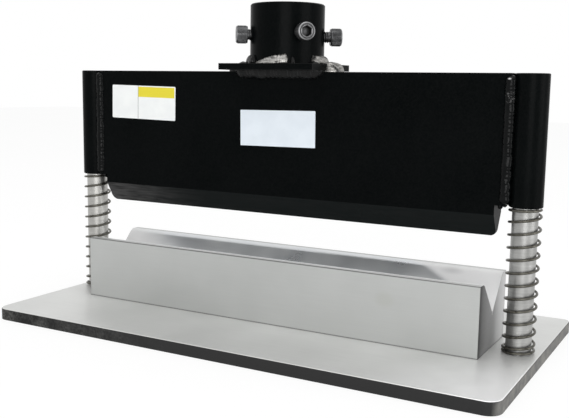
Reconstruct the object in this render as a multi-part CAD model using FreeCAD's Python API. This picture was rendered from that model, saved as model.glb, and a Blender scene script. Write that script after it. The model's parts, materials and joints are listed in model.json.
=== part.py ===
import FreeCAD, Part
import math
import os

# Spring-return V die set for a shop press, in millimetres.
#
# A base plate carries a V die block and two upright guide posts. A flat punch beam with
# a pointed lower edge rides on the posts in two welded sleeves, held up by two coil
# springs. A collar on top of the beam takes the ram of the press, and four radial
# screws clamp it.
#
# Frame: origin on the underside of the base plate, at its centre. +X runs along the
# bend, +Y to the rear, +Z up. The tool stands open, with the springs holding it up.

# --- driving dimensions ---------------------------------------------------------------
BEND_LENGTH = 304.8             # 12 in. of die and of punch nose

BASE_END_MARGIN = 14.0          # from a post's axis to the plate's end
BASE_WIDTH = 190.0
BASE_THICKNESS = 8.0
BASE_FRONT_CORNER = 9.0         # plan radius of the two front corners
BASE_REAR_CORNER = 5.0          # plan radius of the two rear corners
BASE_EDGE_BREAK = 0.6

V_ANGLE = 88.0                  # included angle of the groove
V_DEPTH = 22.5
SHOULDER_RADIUS = 6.0           # where the groove's flanks turn into the top lands
RELIEF_WIDTH = 1.6              # narrow slot along the bottom of the groove
RELIEF_DEPTH = 1.5
DIE_LAND = 4.2                  # flat left on top, outside each shoulder
DIE_EDGE_BREAK = 0.7
DIE_FLOOR = 21.0                # metal under the relief slot

POST_DIAMETER = 15.9            # 5/8 in. bar
POST_ENGAGEMENT = 29.5          # stands this far up inside its sleeve, with the tool open
POST_CHAMFER = 1.5
END_CLEARANCE = 6.8             # between the die's ends and the springs

SPRING_WIRE = 1.6
SPRING_TURNS = 12.0
SPRING_POST_GAP = 0.75          # radial, between the wire and the post

SLEEVE_WALL = 2.3
SLEEVE_LENGTH = 80.5
SLEEVE_EDGE_BREAK = 0.5
SLEEVE_RUNNING_GAP = 0.075      # radial, between the sleeve's bore and the post

BEAM_HEIGHT = 100.0
BEAM_THICKNESS = 16.7
NOSE_ANGLE = 60.0               # included angle of the bending edge
NOSE_RADIUS = 0.5
NOSE_END_RADIUS = 4.0           # rounds the two lower corners, seen from the front
NOTCH_ABOVE_SLEEVE = 0.7        # the notched corners end this far above the sleeves' ends
DAYLIGHT = 26.8                 # between the nose and the die's top, with the tool open

RAM_DIAMETER = 34.9             # the 1 3/8 in. ram that the collar takes
RAM_GAP = 0.25                  # radial
COLLAR_WALL = 7.7
COLLAR_HEIGHT = 40.0
COLLAR_OFFSET = 2.0             # it was welded on this far right of the middle
COLLAR_EDGE_BREAK = 0.8

PLATE_THICKNESS = 4.3           # the small plate between the beam and the collar
PLATE_FIT_UP = 0.8              # it was welded on standing this far off the beam
PLATE_SIDE_LEDGE = 2.6          # from the collar out to the plate's front and rear edges
PLATE_END_LEDGE = 10.6          # from the collar out to the plate's ends

CLAMP_ANGLES = (34.0, 125.0, 215.0, 318.0)  # from +X, round the collar from the rear right
CLAMP_POINT_INSETS = (2.3, 2.0, 0.2, 3.4)   # each screw is backed out this far off the bore
CLAMP_RISES = (-1.3, 0.0, -0.5, 0.5)           # above the collar's middle, as the holes were drilled
CLAMP_DIAMETER = 7.9            # 5/16 in. socket head cap screws
CLAMP_LENGTH = 9.5
CLAMP_HEAD_DIAMETER = 11.9
CLAMP_HEAD_HEIGHT = 7.9
CLAMP_HEAD_BREAK = 0.7
CLAMP_HEX = 6.35
CLAMP_HEX_DEPTH = 4.0
THREAD_GAP = 0.05               # radial, a screw in its hole

FLAT_SCREW_DIAMETER = 7.9       # 5/16 in. flat head screws under the base plate
FLAT_SCREW_LENGTH = 19.0
FLAT_HEAD_DIAMETER = 16.0
FLAT_HEAD_ANGLE = 82.0
FLAT_HEX = 4.76
FLAT_HEX_DEPTH = 2.8
FLAT_RECESS = 0.2               # how far the heads lie above the underside
FLAT_HEAD_GAP = 0.1             # between a head and its countersink
TAPPED_EXTRA = 2.0              # tapped holes go this much past the screw's end
DIE_SCREW_COUNT = 4
DIE_SCREW_INSET = 26.4          # from the die's end to the outermost screw

WELD_LEG = 5.5                  # of the fillets round the small plate
COLLAR_WELD_LEG = 2.4           # how far the collar's beads reach out on the plate
COLLAR_WELD_HEIGHT = 5.2        # how far they climb up the collar
SLEEVE_WELD_FOOT = 4.5          # how far the upright beads lie on the beam's face
SLEEVE_WELD_BULGE = 1.0         # how far they stand proud of that face

LABEL_LENGTH = 59.0
LABEL_HEIGHT = 24.8
LABEL_THICKNESS = 0.2
LABEL_CENTRE_SHIFT = -0.5       # from the middle of the beam
LABEL_CENTRE_DROP = 38.8        # from the beam's top to the middle of the label
LABEL_CENTRE_TILT = 0.6         # degrees
LABEL_LEFT_INSET = 36.4         # from the left end of the nose to the middle of the label
LABEL_LEFT_DROP = 23.5
LABEL_LEFT_TILT = -1.0

SEAT_GAP = 0.3                  # between a sleeve and the top of its spring
REST_GAP = 0.02                 # between a spring and the plate that it stands on
FIT_UP_GAP = 0.1                # between the beam's ends and the sleeves, before welding

# --- levels and places that follow from them ------------------------------------------
BASE_TOP = BASE_THICKNESS
DIE_TOP = BASE_TOP + DIE_FLOOR + RELIEF_DEPTH + V_DEPTH
BEAM_BOTTOM = DIE_TOP + DAYLIGHT
BEAM_TOP = BEAM_BOTTOM + BEAM_HEIGHT
BEAM_FACE = BEAM_THICKNESS / 2
SLEEVE_BOTTOM = BEAM_TOP - SLEEVE_LENGTH
SLEEVE_BORE = POST_DIAMETER / 2 + SLEEVE_RUNNING_GAP
SLEEVE_RADIUS = SLEEVE_BORE + SLEEVE_WALL
NOTCH_ROOF = SLEEVE_BOTTOM + NOTCH_ABOVE_SLEEVE
SPRING_RADIUS = POST_DIAMETER / 2 + SPRING_POST_GAP + SPRING_WIRE / 2
SPRING_TOP = SLEEVE_BOTTOM - SEAT_GAP
POST_X = BEND_LENGTH / 2 + END_CLEARANCE + SPRING_RADIUS + SPRING_WIRE / 2
POST_TOP = SLEEVE_BOTTOM + POST_ENGAGEMENT
BEAM_END = POST_X - SLEEVE_RADIUS - FIT_UP_GAP
BASE_LENGTH = 2 * (POST_X + BASE_END_MARGIN)
PLATE_BOTTOM = BEAM_TOP + PLATE_FIT_UP
PLATE_TOP = PLATE_BOTTOM + PLATE_THICKNESS
BORE_RADIUS = RAM_DIAMETER / 2 + RAM_GAP
COLLAR_RADIUS = BORE_RADIUS + COLLAR_WALL
PLATE_LENGTH = 2 * (COLLAR_RADIUS + PLATE_END_LEDGE)
PLATE_WIDTH = 2 * (COLLAR_RADIUS + PLATE_SIDE_LEDGE)
CLAMP_LEVEL = PLATE_TOP + COLLAR_HEIGHT / 2
SIDES = {"left": -1, "right": 1}

UP = FreeCAD.Vector(0, 0, 1)
PAST = 1.0                      # cutters run this far past the faces that they open


def point(x, y, z):
    return FreeCAD.Vector(x, y, z)


def block(length, width, height, x=0.0, y=0.0, z=0.0):
    """A box centred on x and y, standing on z."""
    return Part.makeBox(length, width, height, point(x - length / 2, y - width / 2, z))


def rod(diameter, length, x=0.0, y=0.0, z=0.0):
    return Part.makeCylinder(diameter / 2, length, point(x, y, z), UP)


def ring(outer_radius, inner_radius, height, x, z):
    outer = Part.makeCylinder(outer_radius, height, point(x, 0, z), UP)
    inner = Part.makeCylinder(inner_radius, height + 2 * PAST, point(x, 0, z - PAST), UP)
    return outer.cut(inner)


def prism(corners, direction):
    """The closed outline through the corners, pushed along a direction."""
    outline = Part.makePolygon(corners + corners[:1])
    return Part.Face(outline).extrude(direction)


def edges_where(shape, wanted):
    """Edges whose middle point passes a test."""
    return [edge for edge in shape.Edges if wanted(edge.CenterOfMass)]


def circles(shape):
    return [edge for edge in shape.Edges if edge.Curve.TypeId == "Part::GeomCircle"]


def hexagon(across_flats, depth, z):
    radius = across_flats / 2 / math.cos(math.pi / 6)
    turns = [math.pi / 3 * k for k in range(6)]
    corners = [point(radius * math.cos(a), radius * math.sin(a), z) for a in turns]
    return prism(corners, point(0, 0, depth))


# --- screws under the base plate ------------------------------------------------------
def flat_cone(head_radius, reach):
    """The cone under a flat head, point up, from its rim on z = 0."""
    slope = math.tan(math.radians(FLAT_HEAD_ANGLE / 2))
    return Part.makeCone(head_radius, head_radius - reach * slope, reach)


def flat_screw():
    """A flat head screw standing on z = 0 with its point up."""
    slope = math.tan(math.radians(FLAT_HEAD_ANGLE / 2))
    neck = (FLAT_HEAD_DIAMETER - FLAT_SCREW_DIAMETER) / 2 / slope
    shank = rod(FLAT_SCREW_DIAMETER, FLAT_SCREW_LENGTH)
    socket = hexagon(FLAT_HEX, FLAT_HEX_DEPTH + PAST, -PAST)
    return shank.fuse(flat_cone(FLAT_HEAD_DIAMETER / 2, neck)).removeSplitter().cut(socket)


def flat_screw_hole():
    """What the plate loses for one flat head screw: a countersink and a clear hole."""
    rim = FLAT_HEAD_DIAMETER / 2 + FLAT_HEAD_GAP
    slope = math.tan(math.radians(FLAT_HEAD_ANGLE / 2))
    hole = FLAT_SCREW_DIAMETER / 2 + THREAD_GAP
    cone = Part.makeCone(rim, hole, (rim - hole) / slope, point(0, 0, FLAT_RECESS))
    mouth = Part.makeCylinder(rim, FLAT_RECESS + PAST, point(0, 0, -PAST))
    clear = Part.makeCylinder(hole, BASE_THICKNESS + 2 * PAST, point(0, 0, -PAST))
    return cone.fuse([mouth, clear])


def tapped_hole(x):
    """The blind hole above the plate that takes the end of a flat head screw."""
    depth = FLAT_RECESS + FLAT_SCREW_LENGTH - BASE_THICKNESS + TAPPED_EXTRA
    diameter = FLAT_SCREW_DIAMETER + 2 * THREAD_GAP
    return rod(diameter, depth + PAST, x, 0, BASE_TOP - PAST)


def die_screw_places():
    first = DIE_SCREW_INSET - BEND_LENGTH / 2
    spacing = -2 * first / (DIE_SCREW_COUNT - 1)
    return [first + k * spacing for k in range(DIE_SCREW_COUNT)]


# --- fixed lower tool -----------------------------------------------------------------
def base_plate():
    plate = block(BASE_LENGTH, BASE_WIDTH, BASE_THICKNESS)
    half = BASE_LENGTH / 2 - PAST

    def upright(edge_at, front):
        corner = abs(edge_at.x) > half and abs(edge_at.z - BASE_THICKNESS / 2) < PAST
        return corner and abs(edge_at.y) > BASE_WIDTH / 2 - PAST and (edge_at.y < 0) == front

    plate = plate.makeFillet(BASE_FRONT_CORNER, edges_where(plate, lambda p: upright(p, True)))
    plate = plate.makeFillet(BASE_REAR_CORNER, edges_where(plate, lambda p: upright(p, False)))
    rim = edges_where(plate, lambda p: abs(p.z - BASE_THICKNESS) < 0.001)
    plate = plate.makeChamfer(BASE_EDGE_BREAK, rim)
    for x in die_screw_places() + [side * POST_X for side in SIDES.values()]:
        hole = flat_screw_hole()
        hole.translate(point(x, 0, 0))
        plate = plate.cut(hole)
    return plate


def v_profile():
    """Closed outline of the die's end: a block with a V, rounded shoulders and a relief."""
    half_angle = math.radians(V_ANGLE / 2)
    groove_bottom = DIE_TOP - V_DEPTH
    relief = RELIEF_WIDTH / 2
    flank_foot = groove_bottom + relief / math.tan(half_angle)
    mouth = V_DEPTH * math.tan(half_angle)          # where flank and land would meet
    turn = math.pi / 2 - half_angle                 # the shoulder turns through this
    tangent = SHOULDER_RADIUS * math.tan(turn / 2)
    land = mouth + tangent
    half_width = land + DIE_LAND + DIE_EDGE_BREAK
    flank_y = mouth - tangent * math.sin(half_angle)
    flank_z = DIE_TOP - tangent * math.cos(half_angle)
    arc_y = land - SHOULDER_RADIUS * math.sin(turn / 2)
    arc_z = DIE_TOP - SHOULDER_RADIUS * (1 - math.cos(turn / 2))

    def at(y, z):
        return point(0, y, z)

    def half(side):
        """The outline from the bottom of the relief round to the foot of one side face."""
        run = [
            at(side * relief, groove_bottom - RELIEF_DEPTH),
            at(side * relief, flank_foot),
            at(side * flank_y, flank_z),
        ]
        edges = [Part.makeLine(a, b) for a, b in zip(run, run[1:])]
        shoulder = Part.Arc(run[-1], at(side * arc_y, arc_z), at(side * land, DIE_TOP))
        edges.append(shoulder.toShape())
        rest = [
            at(side * land, DIE_TOP),
            at(side * (half_width - DIE_EDGE_BREAK), DIE_TOP),
            at(side * half_width, DIE_TOP - DIE_EDGE_BREAK),
            at(side * half_width, BASE_TOP),
        ]
        return edges + [Part.makeLine(a, b) for a, b in zip(rest, rest[1:])]

    floor = Part.makeLine(at(-half_width, BASE_TOP), at(half_width, BASE_TOP))
    slot = Part.makeLine(
        at(-relief, groove_bottom - RELIEF_DEPTH), at(relief, groove_bottom - RELIEF_DEPTH)
    )
    edges = half(-1) + half(1) + [floor, slot]
    return Part.Wire(Part.__sortEdges__(edges))


def v_die():
    section = Part.Face(v_profile())
    section.translate(point(-BEND_LENGTH / 2, 0, 0))
    die = section.extrude(point(BEND_LENGTH, 0, 0))
    for x in die_screw_places():
        die = die.cut(tapped_hole(x))
    return die


def guide_post(side):
    post = rod(POST_DIAMETER, POST_TOP - BASE_TOP, side * POST_X, 0, BASE_TOP)
    top = edges_where(post, lambda p: abs(p.z - POST_TOP) < 0.001)
    return post.makeChamfer(POST_CHAMFER, top).cut(tapped_hole(side * POST_X))


def coil_spring(side):
    """Round wire wound right-handed about the post, standing on the base plate."""
    rise = SPRING_TOP - BASE_TOP - SPRING_WIRE - 2 * REST_GAP
    path = Part.makeHelix(rise / SPRING_TURNS, rise, SPRING_RADIUS)
    wire_section = Part.Wire(
        Part.makeCircle(SPRING_WIRE / 2, point(SPRING_RADIUS, 0, 0), point(0, 1, 0))
    )
    coil = Part.Wire(path).makePipeShell([wire_section], True, True)
    coil.translate(point(side * POST_X, 0, BASE_TOP + SPRING_WIRE / 2 + REST_GAP))
    return coil


# --- moving upper tool ----------------------------------------------------------------
def nose_tip_rise():
    """How much shorter the rounded nose is than a sharp one."""
    half_angle = math.radians(NOSE_ANGLE / 2)
    return NOSE_RADIUS * (1 / math.sin(half_angle) - 1)


def beam_profile():
    """Closed outline of the beam's end: a flat bar ground to a rounded point below."""
    half_angle = math.radians(NOSE_ANGLE / 2)
    sharp_tip = BEAM_BOTTOM - nose_tip_rise()
    bevel_top = sharp_tip + BEAM_FACE / math.tan(half_angle)
    touch_y = NOSE_RADIUS * math.cos(half_angle)
    touch_z = BEAM_BOTTOM + NOSE_RADIUS * (1 - math.sin(half_angle))

    def at(y, z):
        return point(0, y, z)

    run = [
        at(touch_y, touch_z),
        at(BEAM_FACE, bevel_top),
        at(BEAM_FACE, BEAM_TOP),
        at(-BEAM_FACE, BEAM_TOP),
        at(-BEAM_FACE, bevel_top),
        at(-touch_y, touch_z),
    ]
    edges = [Part.makeLine(a, b) for a, b in zip(run, run[1:])]
    edges.append(Part.Arc(run[-1], at(0, BEAM_BOTTOM), run[0]).toShape())
    return Part.Wire(edges)


def nose_corner(side):
    """What the rounding takes off one lower corner of the beam's nose."""
    end_x = side * BEND_LENGTH / 2
    width = BEAM_THICKNESS + 2 * PAST
    waste = block(2 * NOSE_END_RADIUS, width, NOSE_END_RADIUS + PAST, end_x, 0, BEAM_BOTTOM - PAST)
    middle = point(end_x - side * NOSE_END_RADIUS, -width / 2, BEAM_BOTTOM + NOSE_END_RADIUS)
    return waste.cut(Part.makeCylinder(NOSE_END_RADIUS, width, middle, point(0, 1, 0)))


def punch_beam():
    section = Part.Face(beam_profile())
    section.translate(point(-BEAM_END, 0, 0))
    beam = section.extrude(point(2 * BEAM_END, 0, 0))
    notch = BEAM_END + PAST - BEND_LENGTH / 2
    for side in SIDES.values():
        middle = side * (BEND_LENGTH + notch) / 2
        corner = block(notch, BEAM_THICKNESS + 2 * PAST, NOTCH_ROOF - BEAM_BOTTOM + PAST,
                       middle, 0, BEAM_BOTTOM - PAST)
        beam = beam.cut(corner)
        beam = beam.cut(nose_corner(side))
    return beam


def guide_sleeve(side):
    sleeve = ring(SLEEVE_RADIUS, SLEEVE_BORE, SLEEVE_LENGTH, side * POST_X, SLEEVE_BOTTOM)
    outer = [edge for edge in circles(sleeve) if edge.Curve.Radius > SLEEVE_BORE + PAST]
    return sleeve.makeChamfer(SLEEVE_EDGE_BREAK, outer)


def top_plate():
    return block(PLATE_LENGTH, PLATE_WIDTH, PLATE_THICKNESS, 0, 0, PLATE_BOTTOM)


def place_radially(shape, angle, rise):
    """Turn a shape that lies along +X out from the collar's axis, and set it in place."""
    shape.rotate(point(0, 0, 0), UP, angle)
    shape.translate(point(COLLAR_OFFSET, 0, CLAMP_LEVEL + rise))
    return shape


def ram_collar():
    collar = ring(COLLAR_RADIUS, BORE_RADIUS, COLLAR_HEIGHT, COLLAR_OFFSET, PLATE_TOP)
    top_rims = [edge for edge in circles(collar) if edge.CenterOfMass.z > PLATE_TOP + PAST]
    collar = collar.makeChamfer(COLLAR_EDGE_BREAK, top_rims)
    for angle, rise in zip(CLAMP_ANGLES, CLAMP_RISES):
        hole = Part.makeCylinder(
            CLAMP_DIAMETER / 2 + THREAD_GAP, 2 * COLLAR_RADIUS, point(0, 0, 0), point(1, 0, 0)
        )
        collar = collar.cut(place_radially(hole, angle, rise))
    return collar


def clamp_screw(angle, point_inset, rise):
    """A socket head cap screw, backed out until its point is inside the collar's wall."""
    shank = rod(CLAMP_DIAMETER, CLAMP_LENGTH + PAST, 0, 0, -CLAMP_LENGTH)
    head = rod(CLAMP_HEAD_DIAMETER, CLAMP_HEAD_HEIGHT)
    crown = edges_where(head, lambda p: abs(p.z - CLAMP_HEAD_HEIGHT) < 0.001)
    head = head.makeChamfer(CLAMP_HEAD_BREAK, crown)
    socket = hexagon(CLAMP_HEX, CLAMP_HEX_DEPTH + PAST, CLAMP_HEAD_HEIGHT - CLAMP_HEX_DEPTH)
    screw = shank.fuse(head).removeSplitter().cut(socket)
    screw.rotate(point(0, 0, 0), point(0, 1, 0), 90)
    screw.translate(point(BORE_RADIUS + point_inset + CLAMP_LENGTH, 0, 0))
    return place_radially(screw, angle, rise)


# --- weld beads -----------------------------------------------------------------------
def sleeve_weld(side, front):
    """Upright bead in the valley between the beam's face and the round sleeve."""
    face_y = front * BEAM_FACE
    end_x = side * BEAM_END
    foot_x = end_x - side * SLEEVE_WELD_FOOT
    crest_y = face_y + front * SLEEVE_WELD_BULGE
    reach = math.sqrt(SLEEVE_RADIUS ** 2 - crest_y ** 2)
    toe_x = side * (POST_X - reach)
    corners = [
        point(foot_x, face_y, 0),
        point(end_x - side * SLEEVE_WELD_BULGE, crest_y, 0),
        point(toe_x, crest_y, 0),
        point(side * POST_X, 0, 0),
        point(end_x, 0, 0),
        point(end_x, face_y, 0),
    ]
    bead = prism(corners, point(0, 0, BEAM_TOP - NOTCH_ROOF))
    bead.translate(point(0, 0, NOTCH_ROOF))
    sleeve = rod(2 * SLEEVE_RADIUS, SLEEVE_LENGTH + 2 * PAST, side * POST_X, 0,
                 SLEEVE_BOTTOM - PAST)
    return bead.cut(sleeve)


def plate_side_weld(front):
    """Fillet under the small plate's overhang, on the face of the beam."""
    face_y = front * BEAM_FACE
    start = -PLATE_LENGTH / 2
    corners = [
        point(start, face_y, PLATE_BOTTOM),
        point(start, face_y + front * WELD_LEG, PLATE_BOTTOM),
        point(start, face_y, BEAM_TOP - WELD_LEG),
    ]
    return prism(corners, point(PLATE_LENGTH, 0, 0))


def plate_end_weld(side):
    """Fillet on top of the beam, against one end of the small plate."""
    end_x = side * PLATE_LENGTH / 2
    corners = [
        point(end_x, -BEAM_FACE, BEAM_TOP),
        point(end_x + side * WELD_LEG, -BEAM_FACE, BEAM_TOP),
        point(end_x, -BEAM_FACE, PLATE_TOP),
    ]
    return prism(corners, point(0, BEAM_THICKNESS, 0))


def collar_weld(start, end):
    """Short fillet round part of the collar's foot, between two angles from +X."""
    corners = [
        point(COLLAR_RADIUS, 0, PLATE_TOP),
        point(COLLAR_RADIUS + COLLAR_WELD_LEG, 0, PLATE_TOP),
        point(COLLAR_RADIUS, 0, PLATE_TOP + COLLAR_WELD_HEIGHT),
    ]
    section = Part.Face(Part.makePolygon(corners + corners[:1]))
    bead = section.revolve(point(0, 0, 0), UP, end - start)
    bead.rotate(point(0, 0, 0), UP, start)
    bead.translate(point(COLLAR_OFFSET, 0, 0))
    return bead


COLLAR_WELDS = {                # angles from +X where each bead starts and ends
    "front": (245.0, 298.0),
    "left": (170.0, 243.0),
    "back": (65.0, 115.0),
    "right": (-22.0, 35.0),
}


# --- labels ---------------------------------------------------------------------------
def label(x, drop, tilt):
    """A thin sticker on the front face of the beam."""
    centre = point(x, 0, BEAM_TOP - drop)
    sticker = Part.makeBox(
        LABEL_LENGTH, LABEL_THICKNESS, LABEL_HEIGHT,
        point(-LABEL_LENGTH / 2, -BEAM_FACE - LABEL_THICKNESS, -LABEL_HEIGHT / 2)
    )
    sticker.rotate(point(0, 0, 0), point(0, -1, 0), tilt)
    sticker.translate(centre)
    return sticker


# --- the whole tool -------------------------------------------------------------------
def all_nodes():
    nodes = {
        "base_plate": base_plate(),
        "v_die": v_die(),
        "punch_beam": punch_beam(),
        "top_plate": top_plate(),
        "ram_collar": ram_collar(),
    }
    for name, side in SIDES.items():
        nodes["guide_post_" + name] = guide_post(side)
        nodes["spring_" + name] = coil_spring(side)
        nodes["guide_sleeve_" + name] = guide_sleeve(side)
        nodes["post_screw_" + name] = flat_screw()
        nodes["post_screw_" + name].translate(point(side * POST_X, 0, FLAT_RECESS))
        nodes["sleeve_weld_" + name + "_front"] = sleeve_weld(side, -1)
        nodes["sleeve_weld_" + name + "_back"] = sleeve_weld(side, 1)
        nodes["plate_weld_" + name] = plate_end_weld(side)
    nodes["plate_weld_front"] = plate_side_weld(-1)
    nodes["plate_weld_back"] = plate_side_weld(1)
    for name, (start, end) in COLLAR_WELDS.items():
        nodes["collar_weld_" + name] = collar_weld(start, end)
    for number, x in enumerate(die_screw_places(), 1):
        nodes[f"die_screw_{number}"] = flat_screw()
        nodes[f"die_screw_{number}"].translate(point(x, 0, FLAT_RECESS))
    clamp_places = zip(CLAMP_ANGLES, CLAMP_POINT_INSETS, CLAMP_RISES)
    for number, place in enumerate(clamp_places, 1):
        nodes[f"clamp_screw_{number}"] = clamp_screw(*place)
    nodes["label_centre"] = label(LABEL_CENTRE_SHIFT, LABEL_CENTRE_DROP, LABEL_CENTRE_TILT)
    nodes["label_left"] = label(
        LABEL_LEFT_INSET - BEND_LENGTH / 2, LABEL_LEFT_DROP, LABEL_LEFT_TILT
    )
    return nodes


def main():
    os.makedirs("parts", exist_ok=True)
    for name, shape in all_nodes().items():
        shape.exportStep(f"parts/{name}.step")
        print(f"{name}: {shape.Volume:.0f} mm3, valid {shape.isValid()}")


main()
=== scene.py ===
# %% [markdown]
# # A spring-return V die set
#
# A shop press pushes a pointed beam into a V block, and sheet metal laid across the V is bent.
# Two posts stand on the base plate. Sleeves on the ends of the beam slide on them, and a coil
# spring round each post lifts the beam again. This lesson gives that tool its looks.
#
# The sizes and the moving parts come packed from the CAD model. Blender loads them as a fixed
# frame: a part whose shape is right only gets a better finish, and a part that needs more
# detail, such as a spring or a weld bead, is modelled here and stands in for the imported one.

import json
import math

import bmesh
import bpy
from mathutils import Matrix, Vector


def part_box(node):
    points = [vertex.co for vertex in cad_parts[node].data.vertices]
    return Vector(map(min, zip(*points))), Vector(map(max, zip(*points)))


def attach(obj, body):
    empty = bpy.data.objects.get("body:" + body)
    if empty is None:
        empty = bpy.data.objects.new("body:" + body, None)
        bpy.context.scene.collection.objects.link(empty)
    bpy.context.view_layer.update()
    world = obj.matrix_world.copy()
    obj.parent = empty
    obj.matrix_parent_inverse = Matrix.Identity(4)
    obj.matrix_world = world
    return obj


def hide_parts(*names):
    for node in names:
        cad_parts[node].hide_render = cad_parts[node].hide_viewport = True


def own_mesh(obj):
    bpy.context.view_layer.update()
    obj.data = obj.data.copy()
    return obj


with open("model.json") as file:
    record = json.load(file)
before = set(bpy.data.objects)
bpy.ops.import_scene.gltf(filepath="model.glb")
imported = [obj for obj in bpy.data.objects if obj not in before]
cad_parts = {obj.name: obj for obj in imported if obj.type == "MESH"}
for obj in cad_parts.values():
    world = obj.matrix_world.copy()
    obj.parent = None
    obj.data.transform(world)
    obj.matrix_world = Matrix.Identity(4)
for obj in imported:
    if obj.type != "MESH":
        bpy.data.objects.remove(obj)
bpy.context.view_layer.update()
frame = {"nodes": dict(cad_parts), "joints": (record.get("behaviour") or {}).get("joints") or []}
nodes = frame["nodes"]
MM = 0.001

# %% [markdown]
# ## Reading sizes from the frame
#
# Pieces take their places from the imported parts, and only marks of wear, marks of painted light
# and a few offsets of beads are given as numbers. A clamp screw points outwards at an angle, and a
# bead on the collar is an arc, so two more helpers measure along a direction and round an axis.


# %% Measuring helpers
def corners(node):
    """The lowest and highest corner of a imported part, as six numbers."""
    low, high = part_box(node)
    return low.x, low.y, low.z, high.x, high.y, high.z


def reach(node, centre, direction):
    """How far a part reaches from a centre along a direction: nearest and furthest."""
    along = [(v.co - centre).dot(direction) for v in nodes[node].data.vertices]
    return min(along), max(along)


def arc_round(node, centre):
    """The first and last angle, in radians, that a part spans round an upright axis."""
    places = [v.co - centre for v in nodes[node].data.vertices]
    middle = sum((Vector((p.x, p.y)).normalized() for p in places), Vector((0, 0)))
    base = math.atan2(middle.y, middle.x)
    turn = Matrix.Rotation(-base, 3, "Z")
    swings = [math.atan2((turn @ p).y, (turn @ p).x) for p in places]
    return base + min(swings), base + max(swings)


collar_low, collar_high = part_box("ram_collar")
collar_centre = Vector(((collar_low.x + collar_high.x) / 2, 0, collar_low.z))
COLLAR_RADIUS = (collar_high.x - collar_low.x) / 2
print("collar radius in mm", round(COLLAR_RADIUS / MM, 2))

# %% [markdown]
# ## Building node trees in code
#
# Shader trees and Geometry Nodes trees are both boxes joined by links. One helper adds a box,
# sets its options and either sets or links each named input. A second writes a line of
# arithmetic, and a third makes an empty group with named sockets.


# %% Node helpers
def plug(tree, socket, value):
    """Links another node's socket, or sets a plain value."""
    if isinstance(value, bpy.types.NodeSocket):
        tree.links.new(value, socket)
    elif value is not None:
        socket.default_value = value


def add(tree, kind, inputs=None, **options):
    """Adds one node. Inputs are given by socket name or number."""
    node = tree.nodes.new(kind)
    for name, value in options.items():
        setattr(node, name, value)
    for name, value in (inputs or {}).items():
        plug(tree, node.inputs[name], value)
    return node


def calc(tree, operation, first, second=None, third=None, clamp=False):
    """One step of arithmetic on numbers or sockets."""
    values = {0: first, 1: second, 2: third}
    return add(tree, "ShaderNodeMath", values, operation=operation, use_clamp=clamp).outputs[0]


def vector_calc(tree, operation, first, second=None):
    """One step of arithmetic on vectors."""
    return add(tree, "ShaderNodeVectorMath", {0: first, 1: second}, operation=operation).outputs[0]


def ramp(tree, value, low, high, to_low=0.0, to_high=1.0, smooth=False):
    """Carries a value from one range to another, held at both ends."""
    kind = "SMOOTHSTEP" if smooth else "LINEAR"
    values = {"Value": value, 1: low, 2: high, 3: to_low, 4: to_high}
    return add(tree, "ShaderNodeMapRange", values, interpolation_type=kind).outputs[0]


def new_group(name, kind, inputs, outputs):
    """An empty node group whose sockets are named by {name: (socket type, default)}."""
    tree = bpy.data.node_groups.new(name, kind)
    for label, (socket_type, default) in inputs.items():
        socket = tree.interface.new_socket(label, in_out="INPUT", socket_type=socket_type)
        if default is not None:
            socket.default_value = default
    for label, socket_type in outputs.items():
        tree.interface.new_socket(label, in_out="OUTPUT", socket_type=socket_type)
    source = tree.nodes.new("NodeGroupInput")
    target = tree.nodes.new("NodeGroupOutput")
    return tree, source.outputs, target.inputs


FLOAT = "NodeSocketFloat"
VECTOR = "NodeSocketVector"
INTEGER = "NodeSocketInt"
GEOMETRY = "NodeSocketGeometry"
MATERIAL = "NodeSocketMaterial"

# %% [markdown]
# ## Three patterns that every finish shares
#
# Steel is never one even grey. Handling leaves soft patches, grinding leaves fine lines all one
# way, and edges are rubbed bright. Each pattern is a shader group that gives out only a mask,
# so every material can use it at its own scale and in its own colours.


# %% Soft patches
def make_patches():
    tree, given, result = new_group(
        "soft_patches",
        "ShaderNodeTree",
        {"Position": (VECTOR, None), "Size": (FLOAT, 0.02), "Detail": (FLOAT, 3.0)},
        {"Mask": FLOAT},
    )
    scale = calc(tree, "DIVIDE", 1.0, given["Size"])
    values = {"Vector": given["Position"], "Scale": scale, "Detail": given["Detail"]}
    noise = add(tree, "ShaderNodeTexNoise", values)
    plug(tree, result["Mask"], ramp(tree, noise.outputs["Fac"], 0.32, 0.68))
    return tree


PATCHES = make_patches()


# %% Grinding lines
GRAIN_OFFSET = (0.37, 0.61, 0.23)  # keeps the tool's middle off the pattern's lattice


def make_grain():
    tree, given, result = new_group(
        "grinding_lines",
        "ShaderNodeTree",
        {"Position": (VECTOR, None), "Lines Per Metre": (VECTOR, None)},
        {"Mask": FLOAT},
    )
    stretched = vector_calc(tree, "MULTIPLY", given["Position"], given["Lines Per Metre"])
    between = vector_calc(tree, "ADD", stretched, GRAIN_OFFSET)
    noise = add(tree, "ShaderNodeTexNoise", {"Vector": between, "Scale": 1.0, "Detail": 2.0})
    plug(tree, result["Mask"], ramp(tree, noise.outputs["Fac"], 0.3, 0.7))
    return tree


GRAIN = make_grain()


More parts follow.
